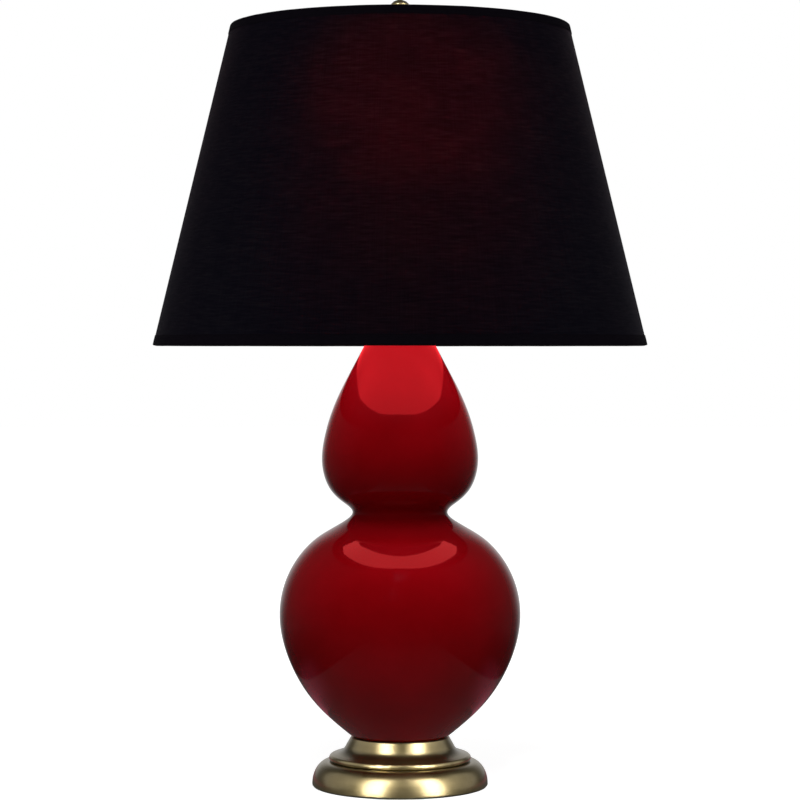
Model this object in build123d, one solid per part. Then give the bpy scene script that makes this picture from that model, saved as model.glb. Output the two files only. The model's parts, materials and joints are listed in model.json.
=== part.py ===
from build123d import *
import os
from math import atan2, cos, hypot, radians, sin

# Table lamp: a glazed double gourd on a spun brass foot, with a tapered shade.
# Millimetres, +Z up. The origin is on the table, on the lamp's upright axis.
# The lamp faces -Y, the cord enters at the back, +Y, and the harp lies in the XZ plane.

# ---- spun base ----
FELT_R = 87.0
FELT_T = 1.0
BASE_R = 88.0
BASE_SHEET = 1.2
DOME_CENTRE = (71.5, 2.0)
DOME_RISE = 23.0
DOME_SWEEP = 86.0
BEAD_CENTRE = (67.0, 28.0)
BEAD_R = (4.0, 3.6)
COVE_FOOT = (65.8, 32.2)
COVE_PULL_OUT = (58.5, 34.0)
COVE_PULL_UP = (55.5, 36.5)
COVE_TOP = (53.6, 41.0)
LIP_R = 49.4
LIP_ROUND = 0.5
BASE_TOP_Z = 48.9
WEIGHT_R = 68.0
WEIGHT_Z = (10.5, 22.5)
WEIGHT_HUB_R = 30.0
CORD_SLOT = 8.0

# ---- cord inlet ----
INLET_Z = 11.0
INLET_BORE_R = 3.2
INLET_TUBE_R = 4.8
INLET_FLANGE_R = 7.2
INLET_FLANGE_T = 1.2
INLET_Y = (79.0, 89.4)

# ---- centre pipe and its nuts ----
PIPE_R = 5.0
PIPE_BORE_R = 3.3
PIPE_Z = (4.0, 502.0)
PIPE_HOLE_R = 5.3
THREAD_R = 5.05
NUT_T = 4.5
WASHER_T = 1.0

# ---- double gourd vessel: outer radius and height, foot to neck ----
GOURD = (
    (48.0, 49.6),
    (86.4, 85.0),
    (108.7, 121.0),
    (120.5, 169.0),
    (109.8, 216.0),
    (84.5, 247.0),
    (58.8, 263.0),
    (47.5, 274.0),
    (58.3, 285.0),
    (72.2, 301.0),
    (78.1, 325.0),
    (76.1, 346.0),
    (63.5, 386.0),
    (43.2, 426.0),
    (21.5, 463.0),
)
FOOT_FLARE = (1.22, 1.0)
NECK_TAPER = (-0.76, 1.0)
GLAZED_WALL = 6.0
NECK_LIP_RISE = 1.1
FOOT_HOLE_R = 12.0
FOOT_GASKET_R = 45.0

# ---- neck fittings ----
CAP_GASKET_R = (14.5, 21.0)
CAP_GASKET_T = 1.0
CAP_R = 24.0
CAP_RISE = 8.5
CAP_SHEET = 1.2
NECK_TUBE_R = 7.5
SADDLE_Z = 489.0
SADDLE_T = 1.5
SADDLE_W = 11.0
HARP_FOOT_X = 28.6
SADDLE_ARM_Z = 498.0
PRONG_R = 1.32
PRONG_TOP_Z = 509.0
SADDLE_NUT_T = 3.0

# ---- lamp socket ----
CUP_Z = (493.5, 515.0)
CUP_NECK_R = 7.5
CUP_R = 17.1
SOCKET_SHEET = 0.7
SHELL_R = 16.2
SHELL_Z = (510.0, 553.0)
LINER_R = (15.0, 15.4)
CORE_R = 14.4
CORE_Z = (505.0, 529.0)
SCREW_SHELL_R = (13.3, 13.9)
SCREW_SHELL_TOP_Z = 551.0
TERMINAL_X = 12.5
TERMINAL_Z = 513.0
STEM_Z = 521.0
STEM_R = 2.0
STEM_BORE_R = 2.05
STEM_HOLE_R = 3.0
STEM_Y = (-34.0, -6.5)
KNOB_R = 6.2
KNOB_Y = (-39.5, -26.5)
KNOB_FLUTES = 12

# ---- bulb ----
BULB_CAP_R = 12.95
BULB_CAP_Z = (536.5, 556.0)
BULB_TIP_Z = 531.8
BULB_NECK_R = 13.4
BULB_R = 33.5
BULB_BELLY_Z = 626.0
BULB_TOP_Z = 661.0
BULB_GLASS = 0.9

# ---- harp ----
WIRE_R = 2.25
HARP_FOOT_Z = 500.0
HARP_BEND_Z = 526.0
HARP_SIDE_X = 59.2
HARP_SIDE_Z = 568.0
HARP_TOP_Z = 741.0
HARP_FOOT_BEND = 14.0
HARP_TOP_BEND = 54.0
HARP_BOSS_R = 7.5
HARP_BOSS_Z = (737.5, 744.5)
PRONG_SOCKET_R = 1.40
FERRULE_R = (2.6, 3.7)
FERRULE_Z = (498.3, 512.3)
STUD_R = 3.0
STUD_TOP_Z = 757.0
STUD_FLANGE_Z = (744.7, 746.2)
STUD_FLANGE_R = 7.5
RIVET_HEAD_R = 5.2
RIVET_HEAD_Z = (735.4, 737.3)

# ---- shade ----
SHADE_TOP = (168.5, 758.4)
SHADE_FOOT = (245.9, 440.8)
PANEL_T = 0.6
LINING_T = 0.5
RING_WIRE_R = 1.5
RING_INSET = 2.4
TAPE_T = 0.5
TOP_TAPE = 9.0
FOOT_TAPE = 10.0
SPIDER_WASHER_R = (3.35, 12.0)
SPIDER_WASHER_Z = (746.4, 748.4)
SPIDER_ARM_R = 2.0
SPIDER_ARMS = 3

# ---- finial ----
FINIAL_Z = (748.6, 787.0)
FINIAL_BORE_R = 3.3
FINIAL_BORE_TOP_Z = 760.0
FINIAL_FOOT_R = 6.6
FINIAL_NECK_R = 4.6
FINIAL_HEAD_R = 10.2
FINIAL_HEAD_Z = (766.6, 785.5)
FINIAL_RIBS = 8
FINIAL_RIB_PITCH = 1.9
FINIAL_RIB_DEPTH = 0.45
FINIAL_BUTTON_R = 3.0

BOTTOM_UP = (Align.CENTER, Align.CENTER, Align.MIN)


# ---- shared operations ----
def lathe(*outline):
    """Turn a closed outline of (radius, height) curves about the upright axis."""
    return revolve(Plane.XZ * make_face(outline), Axis.Z)


def disc(radius, low, high):
    return Pos(0, 0, low) * Cylinder(radius, high - low, align=BOTTOM_UP)


def ring(inner, outer, low, high):
    return disc(outer, low, high) - disc(inner, low - 1, high + 1)


def hexagon(across_flats, low, high):
    blank = extrude(RegularPolygon(across_flats / 2, 6, major_radius=False), high - low)
    return Pos(0, 0, low) * blank


def across(radius, y_start, y_end, x=0.0, z=0.0):
    """Round bar along Y."""
    start = Plane((x, y_start, z), z_dir=(0, 1, 0))
    return extrude(start * Circle(radius), y_end - y_start)


def inset(curve, wall, count):
    """Smooth curve beside another, one wall thickness nearer the axis."""
    points = []
    for i in range(count):
        u = i / (count - 1)
        along = curve % u
        points.append(curve @ u + Vector(-along.Y, along.X) * wall)
    return Spline(*points, tangents=[curve % 0, curve % 1])


# ---- base ----
def dome_curve(growth=0.0):
    """Quarter-ellipse shoulder of the base, grown outward or shrunk inward."""
    side = BASE_R - DOME_CENTRE[0] + growth
    return EllipticalCenterArc(DOME_CENTRE, side, DOME_RISE + growth, start_angle=0, arc_size=DOME_SWEEP)


def base_outline():
    rim = Polyline((BASE_R - 0.8, FELT_T), (BASE_R, DOME_CENTRE[1]))
    dome = dome_curve()
    bead = EllipticalCenterArc(BEAD_CENTRE, *BEAD_R, start_angle=-58, arc_size=138)
    cove = Bezier(COVE_FOOT, COVE_PULL_OUT, COVE_PULL_UP, COVE_TOP)
    collar = Line(COVE_TOP, (LIP_R, BASE_TOP_Z - LIP_ROUND))
    lip = Line(collar @ 1, (LIP_R - LIP_ROUND, BASE_TOP_Z))
    return [rim, dome, Line(dome @ 1, bead @ 0), bead, Line(bead @ 1, COVE_FOOT), cove, collar, lip]


def base_shell():
    outer = base_outline()
    dome = dome_curve(-BASE_SHEET)
    cove = inset(outer[5], BASE_SHEET, 5)
    ceiling = BASE_TOP_Z - BASE_SHEET
    shell = lathe(
        *outer,
        Polyline(outer[-1] @ 1, (PIPE_HOLE_R, BASE_TOP_Z), (PIPE_HOLE_R, ceiling)),
        Polyline((PIPE_HOLE_R, ceiling), (LIP_R - 1.7, ceiling), cove @ 1),
        cove,
        Polyline(cove @ 0, (BEAD_CENTRE[0] - 1.5, BEAD_CENTRE[1] - 2.0), dome @ 1),
        dome,
        Polyline(dome @ 0, (BASE_R - BASE_SHEET - 0.4, FELT_T), outer[0] @ 0),
    )
    return shell - across(INLET_TUBE_R + 0.1, 60, 95, z=INLET_Z)


def felt_pad():
    return disc(FELT_R, 0, FELT_T)


def base_weight():
    low, high = WEIGHT_Z
    weight = disc(WEIGHT_R, low, high) + disc(WEIGHT_HUB_R, low, BASE_TOP_Z - BASE_SHEET)
    weight -= disc(PIPE_HOLE_R, low - 1, BASE_TOP_Z)
    slot = Pos(0, WEIGHT_R / 2, low) * Box(CORD_SLOT, WEIGHT_R + 2, CORD_SLOT * 2)
    return weight - slot


def cord_bushing():
    """Grommet whose flange follows the dome that it is seated on."""
    sleeve = across(INLET_TUBE_R, *INLET_Y, z=INLET_Z)
    skins = []
    for growth in (0.05, INLET_FLANGE_T):
        dome = dome_curve(growth)
        skins.append(lathe(dome, Polyline(dome @ 1, (0, (dome @ 1).Y), (0, DOME_CENTRE[1]), dome @ 0)))
    flange = (skins[1] - skins[0]) & across(INLET_FLANGE_R, 60, 95, z=INLET_Z)
    return sleeve + flange - across(INLET_BORE_R, 60, 95, z=INLET_Z)


# ---- centre pipe ----
def lamp_pipe():
    return ring(PIPE_BORE_R, PIPE_R, *PIPE_Z)


def bottom_washer():
    return ring(PIPE_HOLE_R, 11.0, WEIGHT_Z[0] - WASHER_T, WEIGHT_Z[0])


def bottom_nut():
    top = WEIGHT_Z[0] - WASHER_T
    return hexagon(16.0, top - NUT_T, top) - disc(THREAD_R, 0, top + 1)


# ---- gourd vessel ----
def gourd_body():
    """Slip-cast vessel: one smooth outer curve, an even wall and a rounded neck lip."""
    outer = Spline(*GOURD, tangents=[FOOT_FLARE, NECK_TAPER], tangent_scalars=[1, 1])
    inner = inset(outer, GLAZED_WALL, 2 * len(GOURD))
    foot_z = GOURD[0][1]
    neck_r, neck_z = GOURD[-1]
    mouth_r = (inner @ 1).X
    lip = ThreePointArc((neck_r, neck_z), ((neck_r + mouth_r) / 2, neck_z + 1.0), (mouth_r, neck_z))
    floor_z = (inner @ 0).Y
    return lathe(
        outer,
        lip,
        Line((mouth_r, neck_z), inner @ 1),
        inner,
        Polyline(inner @ 0, (FOOT_HOLE_R, floor_z), (FOOT_HOLE_R, foot_z), GOURD[0]),
    )


def foot_gasket():
    return ring(PIPE_HOLE_R + 0.7, FOOT_GASKET_R, BASE_TOP_Z, GOURD[0][1])


# ---- neck fittings ----
CAP_Z = GOURD[-1][1] + NECK_LIP_RISE + CAP_GASKET_T


def cap_gasket():
    return ring(*CAP_GASKET_R, CAP_Z - CAP_GASKET_T, CAP_Z)


def neck_cap():
    """Spun vase cap: a rolled rim, a cove and a flat crown under the neck tube."""
    crown = CAP_Z + CAP_RISE
    rim_z = CAP_Z + 2.0
    rim = ThreePointArc((CAP_R - 0.9, CAP_Z), (CAP_R, CAP_Z + 1.1), (CAP_R - 1.1, rim_z))
    cove = Bezier((20.5, rim_z + 0.8), (14.5, rim_z + 1.4), (11.5, crown - 2.6), (9.5, crown))
    under = inset(cove, CAP_SHEET, 5)
    return lathe(
        rim,
        Line(rim @ 1, cove @ 0),
        cove,
        Polyline(cove @ 1, (PIPE_HOLE_R, crown), (PIPE_HOLE_R, crown - CAP_SHEET), under @ 1),
        under,
        Polyline(under @ 0, (19.4, CAP_Z), rim @ 0),
    )


def neck_tube():
    low = CAP_Z + CAP_RISE
    step = 1.6
    tube = ring(PIPE_HOLE_R, NECK_TUBE_R, low, SADDLE_Z)
    return tube + ring(NECK_TUBE_R - 0.5, NECK_TUBE_R + 1.2, low, low + step)


def saddle_path(lift):
    """Strip's bent line, the given distance above its underside."""
    x = HARP_FOOT_X + SADDLE_T / 2 - lift
    z = SADDLE_Z + lift
    points = ((-x, SADDLE_ARM_Z), (-x, z), (x, z), (x, SADDLE_ARM_Z))
    return FilletPolyline(*points, radius=4.0 - lift)


def harp_saddle():
    """Bent strip with a round centre and a prong on each upturned end."""
    under = saddle_path(0.0)
    over = saddle_path(SADDLE_T)
    side = make_face([under, over, Line(under @ 0, over @ 0), Line(under @ 1, over @ 1)])
    strip = extrude(Plane.XZ * side, SADDLE_W / 2, both=True)
    strip += disc(11.0, SADDLE_Z, SADDLE_Z + SADDLE_T)
    strip -= disc(PIPE_HOLE_R, SADDLE_Z - 1, SADDLE_Z + 5)
    for x in (-HARP_FOOT_X, HARP_FOOT_X):
        strip += Pos(x, 0, 0) * disc(PRONG_R, SADDLE_ARM_Z - 2, PRONG_TOP_Z)
    return strip


def saddle_nut():
    low = SADDLE_Z + SADDLE_T
    return hexagon(15.0, low, low + SADDLE_NUT_T) - disc(THREAD_R, low - 1, low + 5)


# ---- lamp socket ----
def socket_cap():
    """Cup with a threaded neck, a flared shoulder and a rolled rim."""
    low, high = CUP_Z
    shoulder = Bezier((CUP_NECK_R, low + 5), (CUP_NECK_R + 1, low + 10), (CUP_R, low + 8), (CUP_R, low + 14))
    rim = ThreePointArc((CUP_R, high - 1.6), (CUP_R + 0.7, high - 0.8), (CUP_R, high))
    under = inset(shoulder, SOCKET_SHEET, 7)
    cup = lathe(
        Line((CUP_NECK_R, low), shoulder @ 0),
        shoulder,
        Line(shoulder @ 1, rim @ 0),
        rim,
        Polyline(rim @ 1, (CUP_R - SOCKET_SHEET, high), under @ 1),
        under,
        Polyline(under @ 0, (THREAD_R, (under @ 0).Y), (THREAD_R, low), (CUP_NECK_R, low)),
    )
    return cup - across(1.6, 4.0, 12.0, z=CUP_Z[0] + 2.6)


def socket_set_screw():
    return across(1.55, PIPE_R + 0.1, 9.0, z=CUP_Z[0] + 2.6)


def socket_shell():
    """Thin tube with a crimped bead above the cup and a turned-out mouth."""
    low, high = SHELL_Z
    inner = SHELL_R - SOCKET_SHEET
    crimp = ThreePointArc((SHELL_R, low + 7), (SHELL_R + 0.8, low + 8.5), (SHELL_R, low + 10))
    mouth = ThreePointArc((SHELL_R, high - 1.8), (SHELL_R + 0.8, high - 0.9), (SHELL_R, high))
    shell = lathe(
        Line((SHELL_R, low), crimp @ 0),
        crimp,
        Line(crimp @ 1, mouth @ 0),
        mouth,
        Polyline(mouth @ 1, (inner, high), (inner, low), (SHELL_R, low)),
    )
    return shell - across(STEM_HOLE_R, -20, 0, z=STEM_Z)


def socket_liner():
    liner = ring(*LINER_R, SHELL_Z[0] + 1, SHELL_Z[1] - 1.5)
    return liner - across(STEM_HOLE_R, -20, 0, z=STEM_Z)


def socket_core():
    """Moulded insulating block with two terminal flats and the switch stem's bearing."""
    core = disc(CORE_R, *CORE_Z)
    flat_depth = CORE_R - TERMINAL_X
    for side in (-1, 1):
        x = side * (TERMINAL_X + flat_depth)
        core -= Pos(x, 0, TERMINAL_Z) * Box(2 * flat_depth, 14, 9)
        core -= Pos(side * 6, 0, CORE_Z[0]) * Box(4, 8, 6)
    return core - across(STEM_BORE_R, -20, -6, z=STEM_Z)


def terminal_screws():
    """Two slotted binding screws, one on each flat."""
    screws = []
    for side in (-1, 1):
        face = Plane((side * TERMINAL_X, 0, TERMINAL_Z), z_dir=(side, 0, 0))
        head = extrude(face * Circle(3.0), 1.7)
        head -= face * Pos(0, 0, 1.6) * Box(0.8, 8, 1.2)
        screws.append(head)
    return Compound(screws)


def lamp_screw_shell():
    inner, outer = SCREW_SHELL_R
    low = CORE_Z[1]
    return ring(inner, outer, low, SCREW_SHELL_TOP_Z) + ring(8.5, outer, low, low + 0.6)


def centre_contact():
    """Springy brass tongue under the bulb's tip."""
    low = CORE_Z[1]
    tongue = Polyline((-6, low), (-6, low + 0.7), (-3, low + 0.7), (0, low + 2.3), (4, low + 2.5))
    back = Polyline((4, low + 2.5), (4, low + 1.9), (0.2, low + 1.7), (-3, low), (-6, low))
    return extrude(Plane.XZ * make_face([tongue, back]), 2.0, both=True)


def switch_stem():
    return across(STEM_R, *STEM_Y, z=STEM_Z)


def switch_knob():
    """Turn key: tapered, fluted grip with a rounded face."""
    face_y, back_y = KNOB_Y
    length = back_y - face_y
    profile = [
        Polyline((0, 0), (KNOB_R - 1.2, 0)),
        ThreePointArc((KNOB_R - 1.2, 0), (KNOB_R - 0.35, 0.35), (KNOB_R, 1.2)),
        Polyline((KNOB_R, 1.2), (KNOB_R - 0.6, 8), (KNOB_R - 2.4, 9.5), (KNOB_R - 2.8, length)),
        Polyline((KNOB_R - 2.8, length), (0, length), (0, 0)),
    ]
    grip = lathe(*profile)
    flute = Pos(KNOB_R + 0.35, 0, -1) * Cylinder(0.9, 10.5, align=BOTTOM_UP)
    for i in range(KNOB_FLUTES):
        grip -= Rot(0, 0, 360 / KNOB_FLUTES * i) * flute
    seat = Plane((0, face_y, STEM_Z), z_dir=(0, 1, 0))
    return seat * grip - across(STEM_R + 0.02, STEM_Y[0] - 0.1, 0, z=STEM_Z)


# ---- bulb ----
def bulb_screw_cap():
    low, high = BULB_CAP_Z
    return disc(BULB_CAP_R, low, high) - disc(BULB_CAP_R - 0.6, low + 1, high + 1)


def bulb_insulator():
    """Vitrite cone between the screw cap and the tip."""
    low = BULB_TIP_Z + 1.2
    high = BULB_CAP_Z[0]
    return lathe(Polyline((0, low), (5.2, low), (11.0, high), (0, high), (0, low)))


def bulb_contact():
    tip = BULB_TIP_Z
    return lathe(Polyline((0, tip), (3.2, tip), (4.6, tip + 1.2), (0, tip + 1.2), (0, tip)))


def bulb_globe():
    """Pear-shaped glass envelope, thin walled."""
    low = BULB_CAP_Z[1]
    neck = (BULB_NECK_R, low)
    belly = (BULB_R, BULB_BELLY_Z)
    flank = Spline(neck, (15.2, low + 14), (26.6, low + 42), belly, tangents=[(0, 1), (0, 1)])
    crown = Spline(belly, (23.9, 650.6), (0, BULB_TOP_Z), tangents=[(0, 1), (-1, 0)])
    inner_flank = inset(flank, BULB_GLASS, 9)
    inner_crown = inset(crown, BULB_GLASS, 7)
    return lathe(
        flank,
        crown,
        Line(crown @ 1, inner_crown @ 1),
        inner_crown,
        inner_flank,
        Line(inner_flank @ 0, neck),
    )


# ---- harp ----
def harp_bow():
    """Round wire bow with a socketed foot on each leg and a drilled boss at the top."""
    half = (
        (HARP_FOOT_X, HARP_FOOT_Z),
        (HARP_FOOT_X, HARP_BEND_Z),
        (HARP_SIDE_X, HARP_SIDE_Z),
        (HARP_SIDE_X, HARP_TOP_Z),
    )
    points = [(-x, 0, z) for x, z in half] + [(x, 0, z) for x, z in reversed(half)]
    bends = [HARP_FOOT_BEND, HARP_FOOT_BEND * 2, HARP_TOP_BEND]
    path = FilletPolyline(*points, radius=bends + bends[::-1])
    bow = sweep(Plane(points[0], z_dir=(0, 0, 1)) * Circle(WIRE_R), path)
    bow += disc(HARP_BOSS_R, *HARP_BOSS_Z)
    bow -= disc(STUD_R + 0.05, HARP_BOSS_Z[0] - 1, HARP_BOSS_Z[1] + 1)
    for x in (-HARP_FOOT_X, HARP_FOOT_X):
        bow -= Pos(x, 0, 0) * disc(PRONG_SOCKET_R, HARP_FOOT_Z - 1, PRONG_TOP_Z + 0.5)
    return bow


def harp_stud():
    """Swivel stud: riveted tail, seat flange and threaded top."""
    stud = disc(STUD_R, RIVET_HEAD_Z[0], STUD_TOP_Z - 0.8)
    tip = Pos(0, 0, STUD_TOP_Z - 0.8) * Cone(STUD_R, STUD_R - 0.7, 0.8, align=BOTTOM_UP)
    return stud + tip + disc(STUD_FLANGE_R, *STUD_FLANGE_Z) + disc(RIVET_HEAD_R, *RIVET_HEAD_Z)


def ferrule(side):
    low, high = FERRULE_Z
    inner, outer = FERRULE_R
    sleeve = ring(inner, outer, low, high) + ring(inner, outer + 0.5, low, low + 1.2)
    return Pos(side * HARP_FOOT_X, 0, 0) * sleeve


def left_ferrule():
    return ferrule(-1)


def right_ferrule():
    return ferrule(1)


# ---- shade ----
SHADE_RUN = hypot(SHADE_FOOT[0] - SHADE_TOP[0], SHADE_FOOT[1] - SHADE_TOP[1])
SHADE_TILT = atan2(SHADE_FOOT[0] - SHADE_TOP[0], SHADE_TOP[1] - SHADE_FOOT[1])


def on_shade(down, out):
    """Point at a distance down the shade's slope and out from its outer face."""
    r = SHADE_TOP[0] + down * sin(SHADE_TILT) + out * cos(SHADE_TILT)
    z = SHADE_TOP[1] - down * cos(SHADE_TILT) + out * sin(SHADE_TILT)
    return (r, z)


def sheet(down_from, down_to, out_from, out_to):
    """Cone of sheet between two slope distances and two depths."""
    corners = [(down_from, out_from), (down_to, out_from), (down_to, out_to), (down_from, out_to)]
    return lathe(Polyline(*[on_shade(*c) for c in corners], close=True))


def shade_panel():
    return sheet(TAPE_T + 0.1, SHADE_RUN - TAPE_T - 0.1, -PANEL_T, 0.0)


def shade_lining():
    edge = RING_INSET + RING_WIRE_R + 0.3
    return sheet(edge, SHADE_RUN - edge, -PANEL_T - LINING_T, -PANEL_T)


def ring_centre(down):
    return on_shade(down, -PANEL_T - RING_WIRE_R - 0.05)


def wire_ring(down):
    r, z = ring_centre(down)
    return Pos(0, 0, z) * Torus(r, RING_WIRE_R)


def shade_top_ring():
    return wire_ring(RING_INSET)


def shade_bottom_ring():
    return wire_ring(SHADE_RUN - RING_INSET)


def hem(edge, width, way):
    """Folded tape: down the outer face, over the wire ring and back onto the lining."""
    back = -PANEL_T - 2 * RING_WIRE_R - 0.1
    flat = -PANEL_T - LINING_T
    past_ring = RING_INSET + RING_WIRE_R
    section = [
        (width, 0.0),
        (width, TAPE_T),
        (0.0, TAPE_T),
        (0.0, back - TAPE_T),
        (past_ring, back - TAPE_T),
        (past_ring + 3, flat - TAPE_T),
        (width, flat - TAPE_T),
        (width, flat),
        (past_ring + 2.7, flat),
        (past_ring - 0.2, back),
        (TAPE_T, back),
        (TAPE_T, 0.0),
    ]
    return lathe(Polyline(*[on_shade(edge + way * down, out) for down, out in section], close=True))


def bottom_hem():
    return hem(SHADE_RUN, FOOT_TAPE, -1)


def spider_arms(radius):
    """Straight arms, welded inside the top ring and sloping down to the washer."""
    ring_r, ring_z = ring_centre(RING_INSET)
    start = Vector(SPIDER_WASHER_R[1] - 2, 0, sum(SPIDER_WASHER_Z) / 2)
    end = Vector(ring_r - RING_WIRE_R - 0.1, 0, ring_z)
    arm = extrude(Plane(start, z_dir=end - start) * Circle(radius), (end - start).length)
    return [Rot(0, 0, 90 + 360 / SPIDER_ARMS * i) * arm for i in range(SPIDER_ARMS)]


def shade_spider():
    """Washer fitter hung a little below the top ring on its arms."""
    spider = ring(*SPIDER_WASHER_R, *SPIDER_WASHER_Z)
    for arm in spider_arms(SPIDER_ARM_R):
        spider += arm
    return spider - disc(SPIDER_WASHER_R[0], SPIDER_WASHER_Z[0] - 5, SPIDER_WASHER_Z[1] + 5)


def top_hem():
    """Hem with a notch in its inner fold for each arm."""
    folded = hem(0.0, TOP_TAPE, 1)
    for arm in spider_arms(SPIDER_ARM_R + 0.2):
        folded -= arm
    return folded


# ---- finial ----
def finial():
    """Turned knob: flared foot, slim neck, ribbed head and a small button on top."""
    low, high = FINIAL_Z
    head_low, head_high = FINIAL_HEAD_Z
    foot = (FINIAL_FOOT_R, low + 2)
    waist = (FINIAL_NECK_R + 0.4, low + 11)
    outline = [
        Polyline((FINIAL_BORE_R, low), (FINIAL_FOOT_R, low), foot),
        Bezier(foot, (FINIAL_NECK_R, low + 4), (FINIAL_NECK_R, low + 7), waist),
        Bezier(waist, (5.6, low + 14), (9.0, low + 14.5), (FINIAL_HEAD_R, head_low)),
    ]
    start = Vector(FINIAL_HEAD_R, head_low)
    for i in range(FINIAL_RIBS):
        z = head_low + FINIAL_RIB_PITCH * (i + 1)
        climb = (z - head_low) / (head_high - head_low)
        end = Vector(FINIAL_HEAD_R * (1 - climb ** 4) ** 0.5, z)
        along = (end - start).normalized()
        bulge = Vector(along.Y, -along.X) * FINIAL_RIB_DEPTH
        outline.append(ThreePointArc(start, (start + end) * 0.5 + bulge, end))
        start = end
    button_foot = (FINIAL_BUTTON_R - 0.5, high - 2.2)
    button_edge = (FINIAL_BUTTON_R, high - 1.4)
    outline += [
        Bezier(start, (start.X - 1.2, button_foot[1] - 0.6), button_foot),
        Line(button_foot, button_edge),
        Bezier(button_edge, (FINIAL_BUTTON_R - 0.3, high), (0, high)),
        Polyline((0, high), (0, FINIAL_BORE_TOP_Z), (FINIAL_BORE_R, FINIAL_BORE_TOP_Z), (FINIAL_BORE_R, low)),
    ]
    return lathe(*outline)


PARTS = (
    felt_pad,
    base_shell,
    base_weight,
    cord_bushing,
    bottom_nut,
    bottom_washer,
    lamp_pipe,
    foot_gasket,
    gourd_body,
    cap_gasket,
    neck_cap,
    neck_tube,
    harp_saddle,
    saddle_nut,
    socket_cap,
    socket_set_screw,
    socket_shell,
    socket_liner,
    socket_core,
    terminal_screws,
    lamp_screw_shell,
    centre_contact,
    switch_stem,
    switch_knob,
    bulb_screw_cap,
    bulb_insulator,
    bulb_contact,
    bulb_globe,
    harp_bow,
    harp_stud,
    left_ferrule,
    right_ferrule,
    shade_top_ring,
    shade_spider,
    shade_bottom_ring,
    shade_panel,
    shade_lining,
    top_hem,
    bottom_hem,
    finial,
)

os.makedirs("parts", exist_ok=True)
for part in PARTS:
    export_step(part(), f"parts/{part.__name__}.step")
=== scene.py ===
import json
from math import atan, atan2, cos, hypot, radians, sin, sqrt, tan, tau

import bmesh
import bpy
import numpy as np
from mathutils import Matrix, Vector
from mathutils.geometry import interpolate_bezier


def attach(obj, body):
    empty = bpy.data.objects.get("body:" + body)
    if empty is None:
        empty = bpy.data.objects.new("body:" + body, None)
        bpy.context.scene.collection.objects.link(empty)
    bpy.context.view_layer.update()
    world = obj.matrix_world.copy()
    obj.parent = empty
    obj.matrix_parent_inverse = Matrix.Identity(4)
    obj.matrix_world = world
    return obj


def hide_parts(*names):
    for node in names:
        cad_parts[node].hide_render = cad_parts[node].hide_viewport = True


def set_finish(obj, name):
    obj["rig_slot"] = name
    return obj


# Table lamp: glazed double gourd on a spun foot, with harp, cloth shade and ribbed finial.
# Outlines are in millimetres as (radius, height); meshes are in metres, +Z up, facing -Y.

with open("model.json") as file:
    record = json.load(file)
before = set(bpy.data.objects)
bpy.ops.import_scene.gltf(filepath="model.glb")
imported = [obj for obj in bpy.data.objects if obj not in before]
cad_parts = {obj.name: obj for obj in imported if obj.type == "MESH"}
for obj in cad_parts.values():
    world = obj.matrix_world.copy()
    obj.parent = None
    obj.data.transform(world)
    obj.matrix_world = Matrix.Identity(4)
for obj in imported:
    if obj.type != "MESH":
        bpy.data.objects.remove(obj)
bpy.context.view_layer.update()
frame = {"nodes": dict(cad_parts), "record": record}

RECORD = frame["record"]
SLOT_OF = {part["node"]: part["material_slot"] for part in RECORD["subparts"]}
BODY_OF = {node: body for body, nodes in RECORD["behaviour"]["bodies"].items() for node in nodes}
SCENE = bpy.context.scene
MM = 0.001
WELD = 1e-6
ROUND = 128
FINE_ROUND = 192


# ---- lines ----
def arc(centre, radii, start, sweep, count=12):
    """Points along an ellipse, from a start angle through a sweep, in degrees."""
    angles = [radians(start + sweep * i / count) for i in range(count + 1)]
    return [(centre[0] + radii[0] * cos(a), centre[1] + radii[1] * sin(a)) for a in angles]


def bezier(start, pull_out, pull_in, end, count=12):
    """Points along a curve that leaves and meets its ends towards its two pulls."""
    points = interpolate_bezier(*[Vector(p) for p in (start, pull_out, pull_in, end)], count + 1)
    return [tuple(p) for p in points]


def smooth_line(stations, start, end, count):
    """Evenly bending line through the stations, with curvature matched at each."""
    p = np.array(stations, float)
    gap = np.hypot(*np.diff(p, axis=0).T)
    size = len(p)
    system = np.eye(size)
    wanted = np.zeros((size, 2))
    wanted[0] = np.array(start) / hypot(*start)
    wanted[-1] = np.array(end) / hypot(*end)
    for i in range(1, size - 1):
        before, after = gap[i - 1], gap[i]
        system[i, i - 1:i + 2] = (1 / before, 2 / before + 2 / after, 1 / after)
        wanted[i] = 3 * ((p[i] - p[i - 1]) / before ** 2 + (p[i + 1] - p[i]) / after ** 2)
    slope = np.linalg.solve(system, wanted)
    line = []
    for i in range(size - 1):
        third = gap[i] / 3
        line += bezier(p[i], p[i] + slope[i] * third, p[i + 1] - slope[i + 1] * third, p[i + 1], count)[:-1]
    return line + [tuple(p[-1])]


def beside(line, gap):
    """The line moved to its left hand by a gap."""
    p = np.array(line, float)
    along = np.gradient(p, axis=0)
    along /= np.hypot(*along.T)[:, None]
    moved = p + gap * np.column_stack([-along[:, 1], along[:, 0]])
    return [tuple(q) for q in moved]


def eased(corners, radius, count=3):
    """Closed outline with its corners rounded."""
    line = []
    for i, corner in enumerate(corners):
        here = Vector(corner)
        ends = []
        for other in (Vector(corners[i - 1]), Vector(corners[(i + 1) % len(corners)])):
            away = other - here
            ends.append(here + away.normalized() * min(radius, away.length * 0.45))
        pulls = [end.lerp(here, 0.55) for end in ends]
        line += bezier(ends[0], pulls[0], pulls[1], ends[1], count)
    return line


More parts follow.
